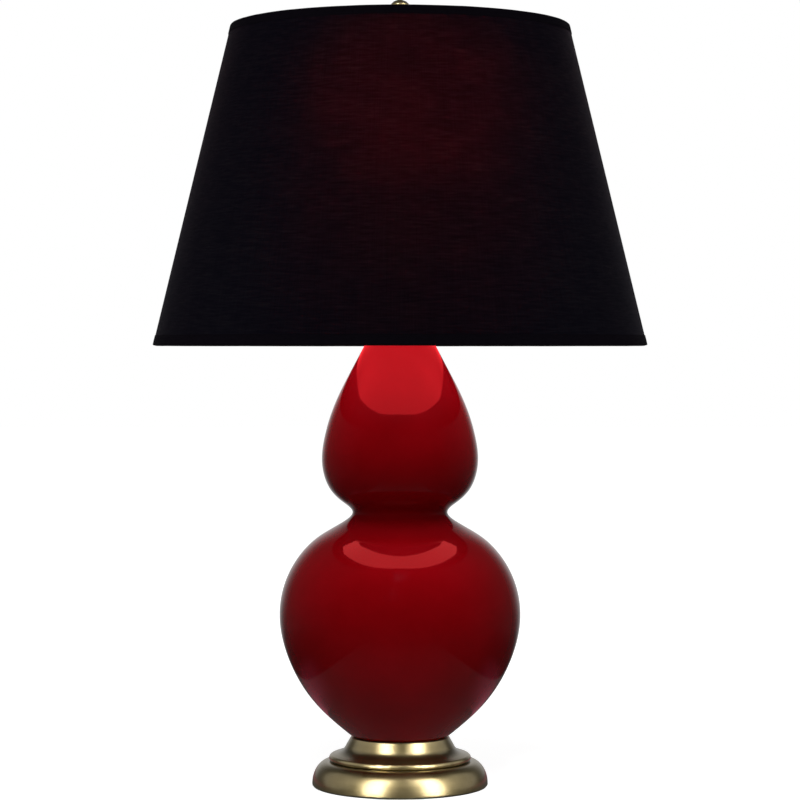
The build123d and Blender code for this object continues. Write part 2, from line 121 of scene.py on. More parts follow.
def hollows(line, reach=5.0):
    """How far each point lies below the line's local average: above 0 in a groove, below 0 on an edge."""
    p = np.array(line, float)
    step = np.hypot(*np.diff(p, axis=0).T)
    s = np.r_[0, np.cumsum(step)]
    along = np.gradient(p, axis=0)
    along /= np.maximum(np.hypot(*along.T), 1e-9)[:, None]
    mean = np.zeros_like(p)
    spread = np.linspace(-reach, reach, 21)
    for shift in spread:
        at = np.clip(s + shift, 0, s[-1])
        mean += np.column_stack([np.interp(at, s, p[:, 0]), np.interp(at, s, p[:, 1])]) / len(spread)
    return ((mean - p) * np.column_stack([along[:, 1], -along[:, 0]])).sum(axis=1)


# ---- modelling ----
def tidy(bm):
    """Weld the seams and poles, and turn the faces outwards."""
    bmesh.ops.remove_doubles(bm, verts=bm.verts, dist=WELD)
    bmesh.ops.recalc_face_normals(bm, faces=bm.faces)
    return bm


def lathe(outline, steps=ROUND, closed=True):
    """Turn an outline about the upright axis, and note how deep each point lies, for the finish to read.
    An open outline starts and ends on the axis, or makes a flat sheet."""
    bm = bmesh.new()
    hollow = bm.verts.layers.float.new("hollow")
    verts = []
    for (r, z), depth in zip(outline, hollows(outline)):
        vert = bm.verts.new((r * MM, 0, z * MM))
        vert[hollow] = depth
        verts.append(vert)
    pairs = list(zip(verts, verts[1:]))
    if closed:
        pairs.append((verts[-1], verts[0]))
    edges = [bm.edges.new(pair) for pair in pairs]
    bmesh.ops.spin(bm, geom=verts + edges, cent=(0, 0, 0), axis=(0, 0, 1), dvec=(0, 0, 0), angle=tau,
                   steps=steps, use_merge=True)
    return tidy(bm)


def add_lathe(bm, outline, steps=64, across=0.0, closed=True):
    """Turn an outline, set it some millimetres across, and add it to what the mesh already holds."""
    turned = lathe(outline, steps, closed)
    bmesh.ops.translate(turned, verts=turned.verts, vec=(across * MM, 0, 0))
    spare = bpy.data.meshes.new("turned")
    turned.to_mesh(spare)
    turned.free()
    bm.from_mesh(spare)
    bpy.data.meshes.remove(spare)


def mesh_object(name, bm, sharp=40):
    """A smooth-shaded piece whose edges stay crisp past an angle in degrees."""
    mesh = bpy.data.meshes.new(name)
    bm.to_mesh(mesh)
    bm.free()
    mesh.shade_smooth()
    mesh.set_sharp_from_angle(angle=radians(sharp))
    made = bpy.data.objects.new(name, mesh)
    SCENE.collection.objects.link(made)
    return made


def fit(made, *nodes):
    """The piece stands for these nodes, and takes the first one's body and finish."""
    made.data.materials.clear()
    made.data.materials.append(FINISHES[SLOT_OF[nodes[0]]])
    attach(made, BODY_OF[nodes[0]])
    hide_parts(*nodes)
    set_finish(made, SLOT_OF[nodes[0]])
    return made


def add_to(made, node):
    """A further piece on the body of a node, with its finish."""
    made.data.materials.append(FINISHES[SLOT_OF[node]])
    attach(made, BODY_OF[node])
    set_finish(made, SLOT_OF[node])
    return made


def ring_outline(inner, outer, low, high, ease):
    return eased([(outer, low), (outer, high), (inner, high), (inner, low)], ease)


def verts_in(geometry):
    return [each for each in geometry if isinstance(each, bmesh.types.BMVert)]


def edges_in(geometry):
    return [each for each in geometry if isinstance(each, bmesh.types.BMEdge)]


def reshape(bm, rule):
    """Move every vertex by a rule on its place in millimetres."""
    for vert in bm.verts:
        vert.co = Vector(rule(*(vert.co / MM))) * MM
    return bm


def hexagonal(bm, across_flats, corner_cut):
    """Press a turned blank to six flats, and leave its corners chamfered."""
    def rule(x, y, z):
        r = hypot(x, y)
        turn = (atan2(y, x) + tau / 12) % (tau / 6) - tau / 12
        flat = across_flats / 2 / cos(turn)
        scale = min(1.0, flat / r) if r > across_flats / 2 * corner_cut else 1.0
        return (x * scale, y * scale, z)

    return reshape(bm, rule)


def helix_thread(bm, low, high, pitch, depth, outer):
    """Cut a round-bottomed thread into the outer wall of a turned bar."""
    def rule(x, y, z):
        r = hypot(x, y)
        if r < outer - 0.02 or not low < z < high:
            return (x, y, z)
        fade = min(1.0, (z - low) / pitch, (high - z) / pitch)
        wave = 0.5 - 0.5 * cos(tau * (z / pitch - atan2(y, x) / tau))
        scale = 1 - fade * depth * wave / r
        return (x * scale, y * scale, z)

    return reshape(bm, rule)


def rows(low, high, gap):
    """Even steps from low to high, about a gap apart."""
    count = max(1, round((high - low) / gap))
    return [low + (high - low) * i / count for i in range(count + 1)]


# ---- finishes ----
class Nodes:
    """The shader nodes of one material or world."""

    def __init__(self, tree):
        self.tree = tree
        self.tree.nodes.clear()

    def node(self, kind, inputs=None, **settings):
        made = self.tree.nodes.new("ShaderNode" + kind)
        for key, value in settings.items():
            setattr(made, key, value)
        for key, value in (inputs or {}).items():
            if isinstance(value, bpy.types.NodeSocket):
                self.tree.links.new(value, made.inputs[key])
            else:
                made.inputs[key].default_value = value
        return made

    def maths(self, operation, first, second=0.0, third=0.0):
        inputs = {0: first, 1: second, 2: third}
        return self.node("Math", inputs, operation=operation).outputs[0]

    def spread(self, value, low, high, to_low=0.0, to_high=1.0):
        """The value's run from low to high, mapped evenly to another run and held at its ends."""
        inputs = {"Value": value, "From Min": low, "From Max": high, "To Min": to_low, "To Max": to_high}
        return self.node("MapRange", inputs).outputs[0]

    def blend(self, share, first, second):
        inputs = {0: share, 6: first, 7: second}
        return self.node("Mix", inputs, data_type="RGBA").outputs[2]

    def weighed(self, first, weight, second, other_weight):
        """The sum of two values, each times its weight."""
        first = self.maths("MULTIPLY", first, weight)
        return self.maths("ADD", first, self.maths("MULTIPLY", second, other_weight))


class Finish(Nodes):
    """A material and the nodes that paint it."""

    def __init__(self, name):
        self.material = bpy.data.materials.new(name)
        self.material.use_nodes = True
        super().__init__(self.material.node_tree)
        self.place = self.node("TexCoord").outputs["Object"]

    def noise(self, vector, scale, detail=3.0, roughness=0.55):
        """Cloudy noise from 0 to 1, with a scale in patches per metre."""
        inputs = {"Vector": vector, "Scale": scale, "Detail": detail, "Roughness": roughness}
        return self.node("TexNoise", inputs).outputs["Fac"]

    def stretched(self, x, y, z):
        return self.node("Mapping", {"Vector": self.place, "Scale": (x, y, z)}).outputs[0]

    def parts(self):
        return self.node("SeparateXYZ", {"Vector": self.place}).outputs

    def from_axis(self, x, y):
        return self.maths("SQRT", self.weighed(x, x, y, y))

    def round_axis(self, across, along):
        """Place on a turned piece: its direction from the axis, scaled by across, and its height by along."""
        x, y, z = self.parts()
        reach = self.maths("MAXIMUM", self.from_axis(x, y), 1e-4)
        inputs = {
            "X": self.maths("MULTIPLY", self.maths("DIVIDE", x, reach), across),
            "Y": self.maths("MULTIPLY", self.maths("DIVIDE", y, reach), across),
            "Z": self.maths("MULTIPLY", z, along),
        }
        return self.node("CombineXYZ", inputs).outputs[0]

    def turned_marks(self, scale):
        """Noise in rings about the axis, as a lathe tool leaves."""
        x, y, z = self.parts()
        inputs = {"X": self.from_axis(x, y), "Z": z}
        return self.noise(self.node("CombineXYZ", inputs).outputs[0], scale, 4.0)

    def bump(self, height, strength, distance):
        return self.node("Bump", {"Height": height, "Strength": strength, "Distance": distance}).outputs[0]

    def surface(self, **inputs):
        shader = self.node("BsdfPrincipled", {key.replace("_", " "): value for key, value in inputs.items()})
        self.finish(shader.outputs[0])
        return self.material

    def finish(self, shader):
        self.node("OutputMaterial", {"Surface": shader})
        return self.material


def rgb(red, green, blue):
    return (red, green, blue, 1.0)


BRASS_DARK = rgb(0.27, 0.208, 0.092)
BRASS_LIGHT = rgb(0.36, 0.287, 0.14)


def red_glaze():
    """Deep red gloss that pools a little darker and lighter, with a faint orange peel."""
    f = Finish("red_glaze")
    pool = f.noise(f.place, 14.0, 3.0)
    grain = f.noise(f.place, 900.0, 2.0)
    deep = f.blend(f.spread(pool, 0.3, 0.7), rgb(0.150, 0.0004, 0.0018), rgb(0.185, 0.0007, 0.0028))
    peel = f.noise(f.place, 110.0, 2.0)
    rough = f.spread(grain, 0.3, 0.7, 0.045, 0.075)
    return f.surface(Base_Color=deep, Roughness=rough, IOR=1.42, Normal=f.bump(peel, 0.05, 0.0004))


def lacquered_brass():
    """Satin brass with turning marks, dark in its grooves and bare on its edges, under a thin lacquer."""
    f = Finish("antique_brass")
    rings = f.turned_marks(2400.0)
    cloud = f.noise(f.place, 45.0, 4.0)
    tone = f.weighed(rings, 0.35, cloud, 0.65)
    colour = f.blend(f.spread(tone, 0.35, 0.65), BRASS_DARK, BRASS_LIGHT)
    depth = f.node("Attribute", attribute_name="hollow").outputs["Fac"]
    tarnish = rgb(*[channel * 0.35 for channel in BRASS_DARK[:3]])
    colour = f.blend(f.spread(depth, 0.10, 0.55), colour, tarnish)
    rubbed = f.maths("MULTIPLY", f.spread(depth, -0.35, -0.9), f.spread(cloud, 0.35, 0.6))
    bare = rgb(*[channel * 1.25 for channel in BRASS_LIGHT[:3]])
    colour = f.blend(rubbed, colour, bare)
    gloss = f.spread(f.weighed(rings, 1.0, cloud, 0.5), 0.5, 1.0, 0.26, 0.35)
    return f.surface(Base_Color=colour, Metallic=1.0, Roughness=gloss, Normal=f.bump(rings, 0.10, 0.0002),
                     Coat_Weight=0.6, Coat_Roughness=0.20, Coat_IOR=1.5)


def plain_metal(name, dark, light, rough):
    """Rolled or plated metal with a fine grain."""
    f = Finish(name)
    grain = f.noise(f.place, 350.0, 5.0)
    colour = f.blend(f.spread(grain, 0.3, 0.7), dark, light)
    gloss = f.spread(grain, 0.3, 0.7, rough - 0.05, rough + 0.08)
    return f.surface(Base_Color=colour, Metallic=1.0, Roughness=gloss, Normal=f.bump(grain, 0.06, 0.0002))


def cast_iron():
    f = Finish("cast_iron")
    sand = f.noise(f.place, 600.0, 6.0, 0.7)
    rust = f.spread(f.noise(f.place, 60.0, 4.0), 0.55, 0.75)
    colour = f.blend(rust, rgb(0.035, 0.034, 0.033), rgb(0.075, 0.040, 0.026))
    return f.surface(Base_Color=colour, Metallic=0.4, Roughness=0.72, Normal=f.bump(sand, 0.5, 0.0006))


def black_felt():
    f = Finish("black_felt")
    hair = f.noise(f.place, 1500.0, 6.0, 0.75)
    patch = f.noise(f.place, 90.0, 3.0)
    colour = f.blend(f.maths("MULTIPLY", hair, patch), rgb(0.008, 0.008, 0.009), rgb(0.060, 0.058, 0.060))
    return f.surface(Base_Color=colour, Roughness=0.95, Sheen_Weight=0.3, Sheen_Roughness=0.5,
                     Normal=f.bump(hair, 0.7, 0.0005))


def moulded(name, dark, light, rough, bump=0.05):
    """Rubber, resin or glass cement, as it leaves its mould."""
    f = Finish(name)
    grain = f.noise(f.place, 500.0, 3.0)
    cloud = f.noise(f.place, 70.0, 2.0)
    colour = f.blend(cloud, dark, light)
    gloss = f.spread(grain, 0.3, 0.7, rough - 0.06, rough + 0.06)
    return f.surface(Base_Color=colour, Roughness=gloss, Normal=f.bump(grain, bump, 0.0002))


def fibre_card():
    f = Finish("fibre_card")
    fibre = f.noise(f.stretched(1.0, 1.0, 8.0), 260.0, 5.0, 0.65)
    colour = f.blend(fibre, rgb(0.36, 0.27, 0.17), rgb(0.55, 0.44, 0.30))
    return f.surface(Base_Color=colour, Roughness=0.85, Normal=f.bump(fibre, 0.25, 0.0003))


def soft_white_glass():
    f = Finish("soft_white_glass")
    frost = f.noise(f.place, 1800.0, 2.0)
    cloud = f.noise(f.place, 40.0, 2.0)
    colour = f.blend(cloud, rgb(0.80, 0.79, 0.76), rgb(0.86, 0.855, 0.83))
    return f.surface(Base_Color=colour, Roughness=f.spread(frost, 0.3, 0.7, 0.30, 0.42), IOR=1.5,
                     Subsurface_Weight=0.25, Subsurface_Scale=0.004, Normal=f.bump(frost, 0.06, 0.0001))


# threads of the shade: warps and tape ribs round it, and wefts per metre of its height
WARP_COUNT = 1180
TAPE_RIBS = 1770
WEFT_PER_M = 900.0


def weave(f):
    """Cloth of fine upright warp and a slubby level weft: its height, slubs, knots and upright threads."""
    x, y, z = f.parts()
    turn = f.maths("ARCTAN2", y, x)
    warp = f.maths("SINE", f.maths("MULTIPLY", turn, WARP_COUNT))
    weft = f.maths("SINE", f.maths("MULTIPLY", z, WEFT_PER_M * tau))
    cross = f.maths("MULTIPLY", warp, weft)
    slub = f.noise(f.round_axis(11.0, 560.0), 1.0, 3.0, 0.6)
    upright = f.noise(f.round_axis(260.0, 22.0), 1.0, 3.0, 0.6)
    cluster = f.noise(f.round_axis(4.5, 42.0), 1.0, 2.0)
    slub = f.weighed(slub, 0.75, cluster, 0.25)
    knots = f.spread(slub, 0.58, 0.70)
    height = f.weighed(f.weighed(cross, 0.30, slub, 1.2), 1.0, upright, 0.5)
    return height, slub, knots, upright


def shade_cloth_finish():
    f = Finish("shade_cloth_black")
    height, slub, knots, upright = weave(f)
    tone = f.weighed(slub, 0.7, upright, 0.3)
    colour = f.blend(f.spread(tone, 0.35, 0.65), rgb(0.0028, 0.0024, 0.0062), rgb(0.0040, 0.0032, 0.0082))
    colour = f.blend(knots, colour, rgb(0.0050, 0.0045, 0.0080))
    passed = f.spread(f.weighed(slub, 0.75, upright, 0.25), 0.40, 0.64, 0.06, 0.19)
    return f.surface(Base_Color=colour, Roughness=0.70, IOR=1.35, Specular_IOR_Level=0.10,
                     Transmission_Weight=passed, Sheen_Weight=0.020, Sheen_Roughness=0.35,
                     Sheen_Tint=rgb(0.75, 0.75, 1.0), Normal=f.bump(height, 0.35, 0.0003))


def binding_finish():
    f = Finish("binding_tape_black")
    x, y, _ = f.parts()
    rib = f.maths("SINE", f.maths("MULTIPLY", f.maths("ARCTAN2", y, x), TAPE_RIBS))
    thread = f.noise(f.round_axis(60.0, 900.0), 1.0, 3.0)
    colour = f.blend(thread, rgb(0.0032, 0.0024, 0.0042), rgb(0.0075, 0.0056, 0.0095))
    height = f.weighed(rib, 0.4, thread, 1.0)
    return f.surface(Base_Color=colour, Roughness=0.85, Specular_IOR_Level=0.06, Sheen_Weight=0.004,
                     Sheen_Roughness=0.4, Normal=f.bump(height, 0.35, 0.0002))


def lining_finish():
    f = Finish("shade_lining_red")
    film = f.noise(f.place, 30.0, 3.0)
    grain = f.noise(f.place, 1200.0, 2.0)
    colour = f.blend(film, rgb(0.36, 0.010, 0.022), rgb(0.46, 0.016, 0.032))
    return f.surface(Base_Color=colour, Roughness=f.spread(grain, 0.3, 0.7, 0.42, 0.55),
                     Normal=f.bump(grain, 0.15, 0.0001))


FINISHES = {
    "red_glaze": red_glaze(),
    "antique_brass": lacquered_brass(),
    "bright_brass": plain_metal("bright_brass", rgb(0.62, 0.45, 0.17), rgb(0.75, 0.57, 0.25), 0.24),
    "zinc_steel": plain_metal("zinc_steel", rgb(0.42, 0.43, 0.42), rgb(0.56, 0.56, 0.55), 0.34),
    "iron": cast_iron(),
    "felt": black_felt(),
    "rubber": moulded("black_rubber", rgb(0.012, 0.012, 0.012), rgb(0.022, 0.021, 0.021), 0.75, 0.15),
    "card": fibre_card(),
    "phenolic": moulded("black_phenolic", rgb(0.012, 0.010, 0.009), rgb(0.020, 0.016, 0.014), 0.32),
    "cap_aluminium": plain_metal("cap_aluminium", rgb(0.62, 0.62, 0.61), rgb(0.74, 0.74, 0.73), 0.30),
    "vitrite": moulded("black_vitrite", rgb(0.006, 0.006, 0.008), rgb(0.012, 0.012, 0.014), 0.12, 0.03),
    "bulb_glass": soft_white_glass(),
    "shade_fabric": shade_cloth_finish(),
    "shade_lining": lining_finish(),
    "hem_tape": binding_finish(),
    "shade_wire": plain_metal("plated_wire", BRASS_DARK, BRASS_LIGHT, 0.32),
}
for node, obj in frame["nodes"].items():
    obj.data.materials.clear()
    obj.data.materials.append(FINISHES[SLOT_OF[node]])


# ---- spun foot ----
FELT_T = 1.0
FELT_R = 87.0
DOME_CENTRE = (71.5, 2.0)
DOME_RADII = (16.5, 23.0)
BEAD_CENTRE = (67.0, 28.0)
BEAD_RADII = (4.0, 3.6)
BASE_SHEET = 1.2
BASE_TOP = 48.9
PIPE_HOLE_R = 5.3
INLET_Z = 11.0
INLET_R = 4.9
INLET_Y = (70.0, 95.0)


def bored(made):
    """Drill the cord's hole through the back of the foot."""
    near, far = INLET_Y
    drill = bmesh.new()
    turn = Matrix.Translation((0, (near + far) / 2 * MM, INLET_Z * MM)) @ Matrix.Rotation(radians(90), 4, "X")
    bmesh.ops.create_cone(drill, cap_ends=True, segments=48, radius1=INLET_R * MM, radius2=INLET_R * MM,
                          depth=(far - near) * MM, matrix=turn)
    cutter = mesh_object("cord_drill", drill)
    cut = made.modifiers.new("cord_hole", "BOOLEAN")
    cut.operation = "DIFFERENCE"
    cut.object = cutter
    cut.solver = "EXACT"
    bpy.context.view_layer.update()
    before = made.data
    made.data = bpy.data.meshes.new_from_object(made.evaluated_get(bpy.context.evaluated_depsgraph_get()))
    made.modifiers.clear()
    bpy.data.meshes.remove(before)
    bpy.data.objects.remove(cutter)
    made.data.name = made.name
    return made


def spun_foot():
    """Brass sheet spun to a rolled rim, a dome, a bead, a cove and a collar."""
    rim = [(87.0, FELT_T), (87.5, 1.05), (87.85, 1.35), (88.0, 1.8)]
    dome = arc(DOME_CENTRE, DOME_RADII, 0, 86, 36)
    bead = arc(BEAD_CENTRE, BEAD_RADII, -58, 138, 24)
    cove = bezier((65.8, 32.2), (58.5, 34.0), (55.5, 36.5), (53.6, 41.0), 20)
    collar = [(49.4, 48.2), (49.3, 48.65), (49.0, 48.85), (48.4, BASE_TOP)]
    hole = [(PIPE_HOLE_R, BASE_TOP), (PIPE_HOLE_R, BASE_TOP - BASE_SHEET)]
    under = [(47.7, BASE_TOP - BASE_SHEET)] + beside(cove, BASE_SHEET)[::-1]
    under += [(65.5, 26.0)] + beside(dome, BASE_SHEET)[::-1] + [(86.4, FELT_T)]
    shell = lathe(rim + dome + bead + cove + collar + hole + under, FINE_ROUND)
    return fit(bored(mesh_object("spun_foot", shell)), "base_shell")


def felt_disc():
    """Thick felt with a soft cut edge."""
    edge = [(FELT_R - 0.15, 0.15), (FELT_R, 0.45), (FELT_R - 0.2, 0.85), (FELT_R - 0.6, FELT_T)]
    under = [(0, 0)] + [(r, 0) for r in rows(8, FELT_R - 0.6, 9)]
    over = [(r, FELT_T) for r in rows(8, FELT_R - 2, 20)[::-1]] + [(0, FELT_T)]
    return fit(mesh_object("felt_disc", lathe(under + edge + over, FINE_ROUND, closed=False)), "felt_pad")


def cord_grommet():
    """Flanged sleeve whose flange is pressed to the dome."""
    sleeve = [(3.2, -9.0), (4.8, -9.0), (4.8, 0.1)]
    flange = [(7.0, 0.1), (7.2, 0.35), (7.2, 0.7), (6.9, 1.1), (6.2, 1.25), (5.0, 1.2), (4.2, 1.1)]
    bm = lathe(sleeve + flange + [(3.5, 0.9), (3.2, 0.4)], 64)

    def press(x, y, z):
        height = (INLET_Z + y - DOME_CENTRE[1]) / DOME_RADII[1]
        reach = DOME_CENTRE[0] + DOME_RADII[0] * sqrt(max(0.0, 1 - height ** 2))
        depth = sqrt(reach ** 2 - x ** 2)
        return (x, depth + z, INLET_Z + y)

    return fit(mesh_object("cord_grommet", tidy(reshape(bm, press))), "cord_bushing")


# ---- gourd ----
GOURD_SEAT_Z = 49.6
GOURD_SOLE = (12.0, 47.4)
# where the glazed outline passes, from the foot over both bellies to the mouth
GOURD = (
    (48.0, GOURD_SEAT_Z), (86.4, 85.0), (108.7, 121.0), (120.5, 169.0), (109.8, 216.0),
    (84.5, 247.0), (58.8, 263.0), (47.5, 274.0), (58.3, 285.0), (72.2, 301.0),
    (78.1, 325.0), (76.1, 346.0), (63.5, 386.0), (43.2, 426.0), (21.5, 463.0),
)
GLAZED_WALL = 6.0


def glazed_gourd():
    """Thin-walled vessel with two bellies, rounded at its mouth and flat under its sole."""
    hole, sole_r = GOURD_SOLE
    outer = smooth_line(GOURD, (1.22, 1.0), (-0.76, 1.0), 12)
    inner = beside(outer, GLAZED_WALL)[::-1]
    neck_r, neck_z = outer[-1]
    mouth_r = inner[0][0]
    lip = arc(((neck_r + mouth_r) / 2, neck_z), ((neck_r - mouth_r) / 2, 1.0), 0, 180, 10)[1:]
    floor_hole = [(hole, inner[-1][1]), (hole, GOURD_SEAT_Z)]
    sole = [(r, GOURD_SEAT_Z) for r in rows(hole + 2, sole_r - 0.9, 8) + [sole_r]]
    bm = lathe(outer[1:] + lip + inner + floor_hole + sole, FINE_ROUND)
    return fit(mesh_object("glazed_gourd", bm), "gourd_body")


# ---- neck ----
CAP_Z = 465.1
CAP_RISE = 8.5
PIPE_SEAT_R = 5.05
SADDLE_Z = 489.0
SADDLE_T = 1.5
SADDLE_W = 11.0
SADDLE_ROUND_R = 11.0
SADDLE_END_Z = 498.0
SADDLE_BEND_R = 4.0
PRONG_R = 1.32
PRONG_Z = (496.0, 509.0)
HARP_FOOT_X = 28.6
NUT_FLATS = 15.0
NUT_T = 3.0


def vase_cap():
    """Low pressed cap with a rolled rim and a coved rise."""
    crown = CAP_Z + CAP_RISE
    rim = arc((22.4, CAP_Z + 1.05), (1.6, 1.05), -90, 195, 14)
    cove = bezier((20.5, CAP_Z + 2.8), (14.5, CAP_Z + 3.4), (11.5, crown - 2.6), (9.5, crown), 16)
    under = beside(cove, 1.2)[::-1]
    outline = rim + cove + [(PIPE_HOLE_R, crown), (PIPE_HOLE_R, crown - 1.2)] + under + [(19.4, CAP_Z)]
    return fit(mesh_object("vase_cap", lathe(outline, 96)), "neck_cap")


def neck_stem():
    """Turned tube with a bead at its foot."""
    low = CAP_Z + CAP_RISE
    outline = [(PIPE_HOLE_R, low), (8.5, low), (8.7, low + 0.3), (8.7, low + 1.2), (8.4, low + 1.6),
               (7.7, low + 1.7), (7.5, low + 2.0), (7.5, SADDLE_Z - 0.3), (7.3, SADDLE_Z),
               (PIPE_HOLE_R, SADDLE_Z)]
    return fit(mesh_object("neck_stem", lathe(outline, 64)), "neck_tube")


def pressed_nut():
    """Six-sided nut on the saddle, chamfered on both faces."""
    low = SADDLE_Z + SADDLE_T
    high = low + NUT_T
    flat = NUT_FLATS / 2
    corner = flat / cos(tau / 12)
    outline = [(PIPE_SEAT_R, low), (flat, low), (corner, low + 0.9), (corner, high - 0.9), (flat, high),
               (PIPE_SEAT_R, high)]
    blank = []
    for start, end in zip(outline, outline[1:] + outline[:1]):
        blank += [tuple(Vector(start).lerp(end, i / 3)) for i in range(3)]
    bm = hexagonal(lathe(blank, 96), NUT_FLATS, 0.98)
    return fit(mesh_object("saddle_nut_pressed", bm, 25), "saddle_nut")


def bent_saddle():
    """Strip bent up at both ends, with a round centre and a prong on each end."""
    bm = bmesh.new()
    end_x = HARP_FOOT_X + SADDLE_T / 2
    bend_centre = (end_x - SADDLE_BEND_R, SADDLE_Z + SADDLE_BEND_R)
    end = [(end_x, SADDLE_END_Z)] + arc(bend_centre, (SADDLE_BEND_R, SADDLE_BEND_R), 0, -90, 8)
    path = [(-x, z) for x, z in end] + end[::-1]
    loops = []
    for line in (path, beside(path, SADDLE_T)):
        verts = [bm.verts.new((x * MM, -SADDLE_W / 2 * MM, z * MM)) for x, z in line]
        loops += [bm.edges.new(pair) for pair in zip(verts, verts[1:])]
    faces = bmesh.ops.bridge_loops(bm, edges=loops)["faces"]
    pulled = bmesh.ops.extrude_face_region(bm, geom=faces)["geom"]
    bmesh.ops.translate(bm, verts=verts_in(pulled), vec=(0, SADDLE_W * MM, 0))
    bmesh.ops.recalc_face_normals(bm, faces=bm.faces)
    edges = [e for e in bm.edges if len(e.link_faces) == 2 and e.calc_face_angle(0) > radians(60)]
    bmesh.ops.bevel(bm, geom=edges, offset=0.35 * MM, affect="EDGES", segments=2, profile=0.5, material=-1)
    low, high = PRONG_Z
    prong = [(0, low), (PRONG_R, low), (PRONG_R, high - 0.6), (PRONG_R - 0.42, high - 0.1), (0, high)]
    for side in (-1, 1):
        add_lathe(bm, prong, 24, side * HARP_FOOT_X, closed=False)
    add_lathe(bm, ring_outline(PIPE_HOLE_R, SADDLE_ROUND_R, SADDLE_Z, SADDLE_Z + SADDLE_T + 0.05, 0.3))
    return fit(mesh_object("bent_saddle", bm), "harp_saddle")


# ---- socket ----
CUP_Z = (493.5, 515.0)
CUP_R = 17.1
SOCKET_SHEET = 0.7
SHELL_R = 16.2
SHELL_Z = (510.0, 553.0)
STEM_Z = 521.0
KNOB_R = 6.2
KNOB_Y = (-39.5, -26.5)
KNOB_FLUTES = 12


def socket_cup():
    """Deep-drawn cap that the jacket snaps into."""
    low, high = CUP_Z
    shoulder = bezier((7.5, low + 5), (8.5, low + 10), (CUP_R, low + 8), (CUP_R, low + 14), 20)
    rim = arc((CUP_R, high - 0.8), (0.7, 0.8), -90, 180, 12)
    inside = CUP_R - SOCKET_SHEET
    under = [(inside, high), (inside, low + 14)] + beside(shoulder, SOCKET_SHEET)[::-1][1:]
    under += [(PIPE_SEAT_R, low + 5), (PIPE_SEAT_R, low)]
    outline = [(7.3, low), (7.5, low + 0.2)] + shoulder + rim + under
    return fit(mesh_object("socket_cup", lathe(outline, 96)), "socket_cap")


def socket_jacket():
    """Drawn shell with a crimp, a groove and a rolled mouth."""
    low, high = SHELL_Z
    inner = SHELL_R - SOCKET_SHEET
    crimp = arc((SHELL_R, low + 8.5), (0.75, 1.5), -90, 180, 12)
    upper = arc((SHELL_R, high - 9.0), (-0.45, 1.0), -90, 180, 10)
    mouth = arc((SHELL_R, high - 0.9), (0.8, 0.9), -90, 180, 12)
    outline = [(SHELL_R, low)] + crimp + upper + mouth + [(inner, high), (inner, low)]
    return fit(mesh_object("socket_jacket", lathe(outline, 96)), "socket_shell")


def fluted_key():
    """Turn key with a fluted grip, moulded about the switch's axis."""
    face, back = KNOB_Y
    length = back - face
    grip = [(KNOB_R - 0.6 * (z - 1.2) / 6.8, z) for z in rows(1.2, 8.0, 0.5)]
    cap = [(0, 0.25), (2.0, 0.2), (3.6, 0.1), (KNOB_R - 1.2, 0.0), (KNOB_R - 0.5, 0.2), (KNOB_R - 0.12, 0.65)]
    neck = [(KNOB_R - 0.9, 8.6), (KNOB_R - 2.0, 9.2), (KNOB_R - 2.5, 10.0), (KNOB_R - 2.8, length)]
    bm = lathe(cap + grip + neck + [(2.05, length), (0, length)], KNOB_FLUTES * 12, closed=False)

    def flute(x, y, z):
        r = hypot(x, y)
        share = max(0.0, min(1.0, r - KNOB_R + 1.6)) * (1.0 if z < 9.0 else 0.0)
        turn = atan2(y, x) * KNOB_FLUTES
        dip = 0.55 * share * max(0.0, cos(turn)) ** 1.5
        scale = 1 - dip / r if r else 1.0
        return (x * scale, face + z, STEM_Z + y * scale)

    return fit(mesh_object("fluted_key", tidy(reshape(bm, flute)), 50), "switch_knob")


# ---- bulb ----
BULB_CAP_Z = (536.5, 556.0)
BULB_CAP_R = 12.95
BULB_BELLY = (33.5, 626.0)
BULB_TOP = 661.0
BULB_WALL = 0.9
BULB_PITCH = 3.63
BULB_THREAD_DEPTH = 1.1


def opal_globe():
    """Blown glass: a neck, a flank that swells to the belly, and a round crown."""
    neck = (13.4, BULB_CAP_Z[1])
    flank = smooth_line([neck, (15.2, 570.0), (26.6, 598.0), BULB_BELLY], (0, 1), (0, 1), 14)
    crown = smooth_line([BULB_BELLY, (23.9, 650.6), (0, BULB_TOP)], (0, 1), (-1, 0), 16)
    outer = flank + crown[1:]
    inside_top = BULB_TOP - BULB_WALL
    inner = [(max(0.0, r - BULB_WALL), min(z, inside_top)) for r, z in beside(outer, BULB_WALL)][::-1]
    inner[0] = (0, inside_top)
    return fit(mesh_object("opal_globe", lathe(inner + outer, closed=False)), "bulb_globe")


def threaded_cap():
    """Thin aluminium cap with a rolled thread."""
    low, high = BULB_CAP_Z
    wall = [(BULB_CAP_R, z) for z in rows(low + 1.0, high, 0.3)]
    outline = [(BULB_CAP_R - 1.4, low), (BULB_CAP_R - 0.4, low + 0.3)] + wall
    outline += [(BULB_CAP_R - 0.6, high), (BULB_CAP_R - 1.9, high - 1), (BULB_CAP_R - 1.9, low + 1)]
    bm = helix_thread(lathe(outline, 96), low + 1.0, high - 2.5, BULB_PITCH, BULB_THREAD_DEPTH, BULB_CAP_R)
    return fit(mesh_object("threaded_cap", bm, 60), "bulb_screw_cap")


# ---- harp ----
WIRE_R = 2.25
WIRE_SIDES = 24
# the right leg's corners, upwards: how far across, how high, and the radius of the bend there
HARP_CORNERS = (
    (HARP_FOOT_X, 500.0, 0.0),
    (HARP_FOOT_X, 526.0, 14.0),
    (59.2, 568.0, 28.0),
    (59.2, 741.0, 54.0),
)
HARP_BOSS_Z = (737.5, 744.5)
HARP_BOSS_R = 7.5
STUD_R = 3.0
STUD_Z = (735.4, 757.0)
STUD_COLLAR_Z = (744.7, 746.2)
STUD_PITCH = 0.94
STUD_THREAD_DEPTH = 0.42
SLEEVE_Z = (498.3, 512.3)


